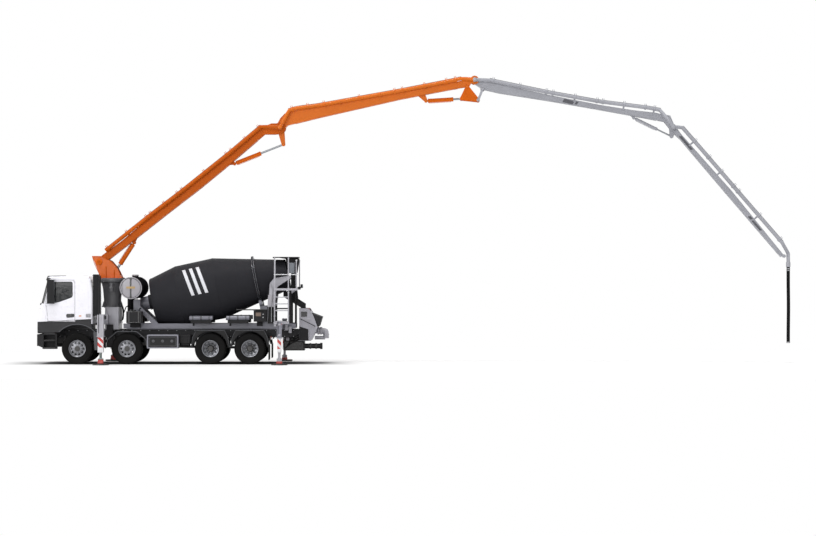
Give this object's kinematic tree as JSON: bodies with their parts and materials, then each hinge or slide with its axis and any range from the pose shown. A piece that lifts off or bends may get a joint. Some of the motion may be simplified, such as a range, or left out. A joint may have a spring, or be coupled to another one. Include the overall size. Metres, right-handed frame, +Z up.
{
  "type": "truck-mounted concrete mixer pump",
  "caption": "Eight-wheel lorry with a mixing drum, a concrete pump behind it and a four-arm folding delivery boom on a slewing column, standing on its outriggers.",
  "frame": {"origin": "on the ground under the middle of the machine with its boom reached out, end hose left out", "axes": "+Z up, +X to the rear, along the boom, +Y to the machine's right-hand side"},
  "size_m": [25.939, 4.06, 9.9559],
  "materials": {
    "tyre": "matte black rubber",
    "rim_steel": "satin silver paint",
    "chassis_grey": "satin dark grey paint",
    "subframe_grey": "satin blue-grey paint",
    "light_grey": "satin light grey paint",
    "cab_white": "gloss white paint",
    "dark_plastic": "grained dark grey plastic",
    "interior": "matt plastic and cloth",
    "glass": "tinted",
    "boom_orange": "gloss orange paint",
    "boom_grey": "gloss light grey paint",
    "drum_black": "gloss black paint",
    "iron": "painted dark",
    "chrome": "hard chrome",
    "hose_rubber": "matt black rubber"
  },
  "bodies": {
    "chassis": {"chassis_frame": "chassis_grey", "subframe": "subframe_grey", "axles": "iron", "mudguards": "dark_plastic", "bumper_steps": "dark_plastic", "side_lockers": "dark_plastic", "engine_block": "iron", "slewing_column": "light_grey", "water_tank": "light_grey", "ladder_platform": "light_grey", "charge_hopper": "drum_black", "pump_unit": "light_grey"},
    "cab": {"cab_shell": "cab_white", "windscreen": "glass", "cab_trim": "interior"},
    "door_left": {"door_left": "cab_white"},
    "door_right": {"door_right": "cab_white"},
    "steer_1_left": {"knuckle_1_left": "iron"},
    "wheel_1_left": {"tyre_1_left": "tyre", "rim_1_left": "rim_steel"},
    "steer_1_right": {"knuckle_1_right": "iron"},
    "wheel_1_right": {"tyre_1_right": "tyre", "rim_1_right": "rim_steel"},
    "steer_2_left": {"knuckle_2_left": "iron"},
    "wheel_2_left": {"tyre_2_left": "tyre", "rim_2_left": "rim_steel"},
    "steer_2_right": {"knuckle_2_right": "iron"},
    "wheel_2_right": {"tyre_2_right": "tyre", "rim_2_right": "rim_steel"},
    "wheel_3_left": {"tyre_3_left": "tyre", "rim_3_left": "rim_steel"},
    "wheel_3_right": {"tyre_3_right": "tyre", "rim_3_right": "rim_steel"},
    "wheel_4_left": {"tyre_4_left": "tyre", "rim_4_left": "rim_steel"},
    "wheel_4_right": {"tyre_4_right": "tyre", "rim_4_right": "rim_steel"},
    "drum": {"mixing_drum": "drum_black"},
    "turret": {"turret": "boom_orange"},
    "boom_1": {"boom_1": "boom_orange"},
    "boom_2": {"boom_2": "boom_orange"},
    "boom_3": {"boom_3": "boom_grey"},
    "boom_4": {"boom_4": "boom_grey", "end_hose": "hose_rubber"},
    "lift_ram_barrel": {"lift_ram_barrel": "boom_orange"},
    "lift_ram_rod": {"lift_ram_rod": "chrome"},
    "fold_2_ram_barrel": {"fold_2_ram_barrel": "boom_orange"},
    "fold_2_ram_rod": {"fold_2_ram_rod": "chrome"},
    "fold_3_ram_barrel": {"fold_3_ram_barrel": "boom_orange"},
    "fold_3_ram_rod": {"fold_3_ram_rod": "chrome"},
    "fold_4_ram_barrel": {"fold_4_ram_barrel": "boom_grey"},
    "fold_4_ram_rod": {"fold_4_ram_rod": "chrome"},
    "rocker": {"rocker": "boom_orange"},
    "link": {"link": "boom_grey"},
    "front_arm_left": {"outrigger_arm_left": "light_grey"},
    "front_jack_left": {"front_jack_left": "light_grey"},
    "rear_jack_left": {"rear_jack_left": "light_grey"},
    "front_arm_right": {"outrigger_arm_right": "light_grey"},
    "front_jack_right": {"front_jack_right": "light_grey"},
    "rear_jack_right": {"rear_jack_right": "light_grey"}
  },
  "joints": [
    {"name": "cab_tilt", "type": "hinge", "parent": "chassis", "child": "cab", "pos_m": [-12.9035, 0, 1.095], "axis": [0, -1, 0], "range_deg": [0, 60]},
    {"name": "door_left_hinge", "type": "hinge", "parent": "cab", "child": "door_left", "pos_m": [-12.6885, -1.25, 1.6], "axis": [0, 0, -1], "range_deg": [0, 70]},
    {"name": "door_right_hinge", "type": "hinge", "parent": "cab", "child": "door_right", "pos_m": [-12.6885, 1.25, 1.6], "axis": [0, 0, 1], "range_deg": [0, 70]},
    {"name": "steer_1_left_turn", "type": "hinge", "parent": "chassis", "child": "steer_1_left", "pos_m": [-11.6035, -0.9, 0.538], "axis": [0, 0, 1], "range_deg": [-36, 36]},
    {"name": "wheel_1_left_spin", "type": "hinge", "parent": "steer_1_left", "child": "wheel_1_left", "pos_m": [-11.6035, -1.085, 0.538], "axis": [0, 1, 0], "continuous": true},
    {"name": "steer_1_right_turn", "type": "hinge", "parent": "chassis", "child": "steer_1_right", "pos_m": [-11.6035, 0.9, 0.538], "axis": [0, 0, 1], "range_deg": [-36, 36]},
    {"name": "wheel_1_right_spin", "type": "hinge", "parent": "steer_1_right", "child": "wheel_1_right", "pos_m": [-11.6035, 1.085, 0.538], "axis": [0, 1, 0], "continuous": true},
    {"name": "steer_2_left_turn", "type": "hinge", "parent": "chassis", "child": "steer_2_left", "pos_m": [-9.9035, -0.9, 0.538], "axis": [0, 0, 1], "range_deg": [-27, 27]},
    {"name": "wheel_2_left_spin", "type": "hinge", "parent": "steer_2_left", "child": "wheel_2_left", "pos_m": [-9.9035, -1.085, 0.538], "axis": [0, 1, 0], "continuous": true},
    {"name": "steer_2_right_turn", "type": "hinge", "parent": "chassis", "child": "steer_2_right", "pos_m": [-9.9035, 0.9, 0.538], "axis": [0, 0, 1], "range_deg": [-27, 27]},
    {"name": "wheel_2_right_spin", "type": "hinge", "parent": "steer_2_right", "child": "wheel_2_right", "pos_m": [-9.9035, 1.085, 0.538], "axis": [0, 1, 0], "continuous": true},
    {"name": "wheel_3_left_spin", "type": "hinge", "parent": "chassis", "child": "wheel_3_left", "pos_m": [-7.0535, -0.91, 0.538], "axis": [0, 1, 0], "continuous": true},
    {"name": "wheel_3_right_spin", "type": "hinge", "parent": "chassis", "child": "wheel_3_right", "pos_m": [-7.0535, 0.91, 0.538], "axis": [0, 1, 0], "continuous": true},
    {"name": "wheel_4_left_spin", "type": "hinge", "parent": "chassis", "child": "wheel_4_left", "pos_m": [-5.7035, -0.91, 0.538], "axis": [0, 1, 0], "continuous": true},
    {"name": "wheel_4_right_spin", "type": "hinge", "parent": "chassis", "child": "wheel_4_right", "pos_m": [-5.7035, 0.91, 0.538], "axis": [0, 1, 0], "continuous": true},
    {"name": "drum_spin", "type": "hinge", "parent": "chassis", "child": "drum", "pos_m": [-5.5335, 0, 2.862], "axis": [0.9799, 0, 0.1994], "continuous": true},
    {"name": "slew", "type": "hinge", "parent": "chassis", "child": "turret", "pos_m": [-10.5435, 0, 2.811], "axis": [0, 0, 1], "range_deg": [-185, 185]},
    {"name": "boom_1_lift", "type": "hinge", "parent": "turret", "child": "boom_1", "pos_m": [-10.9795, 0, 3.504], "axis": [0, -1, 0], "range_deg": [-25, 45]},
    {"name": "boom_2_fold", "type": "hinge", "parent": "boom_1", "child": "boom_2", "pos_m": [-4.71913, 0, 8.15336], "axis": [0, 1, 0], "range_deg": [-43, 60]},
    {"name": "boom_3_fold", "type": "hinge", "parent": "boom_2", "child": "boom_3", "pos_m": [2.00889, 0, 9.80592], "axis": [0, -1, 0], "range_deg": [-23, 150]},
    {"name": "boom_4_fold", "type": "hinge", "parent": "boom_3", "child": "boom_4", "pos_m": [8.87571, 0, 8.17001], "axis": [0, 1, 0], "range_deg": [-53, 80]},
    {"name": "lift_ram_swing", "type": "hinge", "parent": "boom_1", "child": "lift_ram_barrel", "pos_m": [-9.7925, 0, 4.177], "axis": [0, -1, 0], "range_deg": [-4.55, 2.75]},
    {"name": "lift_ram_stroke", "type": "slide", "parent": "lift_ram_barrel", "child": "lift_ram_rod", "axis": [-0.5444, 0, -0.8388], "range_m": [-0.2573, 0.4615]},
    {"name": "fold_2_ram_swing", "type": "hinge", "parent": "boom_1", "child": "fold_2_ram_barrel", "pos_m": [-6.3165, 0, 6.911], "axis": [0, -1, 0], "range_deg": [-4.8, 6.5]},
    {"name": "fold_2_ram_stroke", "type": "slide", "parent": "fold_2_ram_barrel", "child": "fold_2_ram_rod", "axis": [0.9307, 0, 0.3658], "range_m": [-0.4785, 0.3435]},
    {"name": "fold_3_ram_swing", "type": "hinge", "parent": "boom_2", "child": "fold_3_ram_barrel", "pos_m": [0.3275, 0, 9.089], "axis": [0, -1, 0], "range_deg": [-0.96, 3.5]},
    {"name": "fold_3_ram_stroke", "type": "slide", "parent": "fold_3_ram_barrel", "child": "fold_3_ram_rod", "axis": [0.9981, 0, 0.0616], "range_m": [-0.1024, 0.6565]},
    {"name": "fold_4_ram_swing", "type": "hinge", "parent": "boom_3", "child": "fold_4_ram_barrel", "pos_m": [7.5345, 0, 8.5], "axis": [0, -1, 0], "range_deg": [-1, 1]},
    {"name": "fold_4_ram_stroke", "type": "slide", "parent": "fold_4_ram_barrel", "child": "fold_4_ram_rod", "axis": [0.8977, 0, -0.4406], "range_m": [-0.379, 0.2518]},
    {"name": "rocker_turn", "type": "hinge", "parent": "boom_2", "child": "rocker", "pos_m": [1.7505, 0, 9.575], "axis": [0, -1, 0], "range_deg": [-16, 98]},
    {"name": "link_turn", "type": "hinge", "parent": "boom_3", "child": "link", "pos_m": [2.2875, 0, 9.487], "axis": [0, -1, 0], "range_deg": [-92, 16]},
    {"name": "front_arm_left_slide", "type": "slide", "parent": "chassis", "child": "front_arm_left", "axis": [0, -1, 0], "range_m": [-0.61, 1.3]},
    {"name": "front_jack_left_lift", "type": "slide", "parent": "front_arm_left", "child": "front_jack_left", "axis": [0, 0, 1], "range_m": [0, 0.38]},
    {"name": "rear_jack_left_lift", "type": "slide", "parent": "chassis", "child": "rear_jack_left", "axis": [0, 0, 1], "range_m": [0, 0.38]},
    {"name": "front_arm_right_slide", "type": "slide", "parent": "chassis", "child": "front_arm_right", "axis": [0, 1, 0], "range_m": [-0.61, 1.3]},
    {"name": "front_jack_right_lift", "type": "slide", "parent": "front_arm_right", "child": "front_jack_right", "axis": [0, 0, 1], "range_m": [0, 0.38]},
    {"name": "rear_jack_right_lift", "type": "slide", "parent": "chassis", "child": "rear_jack_right", "axis": [0, 0, 1], "range_m": [0, 0.38]}
  ],
  "couplings": [
    {"joint": "steer_1_right_turn", "follows": "steer_1_left_turn", "ratio": 1},
    {"joint": "steer_2_left_turn", "follows": "steer_1_left_turn", "ratio": 0.75},
    {"joint": "steer_2_right_turn", "follows": "steer_1_left_turn", "ratio": 0.75},
    {"joint": "lift_ram_swing", "follows": "boom_1_lift", "ratio": -0.09},
    {"joint": "lift_ram_stroke", "follows": "boom_1_lift", "m_per_rad": 0.585},
    {"joint": "fold_2_ram_swing", "follows": "boom_2_fold", "ratio": 0.1},
    {"joint": "fold_2_ram_stroke", "follows": "boom_2_fold", "m_per_rad": -0.455},
    {"joint": "fold_3_ram_swing", "follows": "boom_3_fold", "ratio": 0.02},
    {"joint": "fold_3_ram_stroke", "follows": "boom_3_fold", "m_per_rad": 0.25},
    {"joint": "fold_4_ram_swing", "follows": "boom_4_fold", "ratio": 0.01},
    {"joint": "fold_4_ram_stroke", "follows": "boom_4_fold", "m_per_rad": -0.27},
    {"joint": "rocker_turn", "follows": "boom_3_fold", "ratio": 0.64},
    {"joint": "link_turn", "follows": "boom_3_fold", "ratio": -0.6}
  ]
}
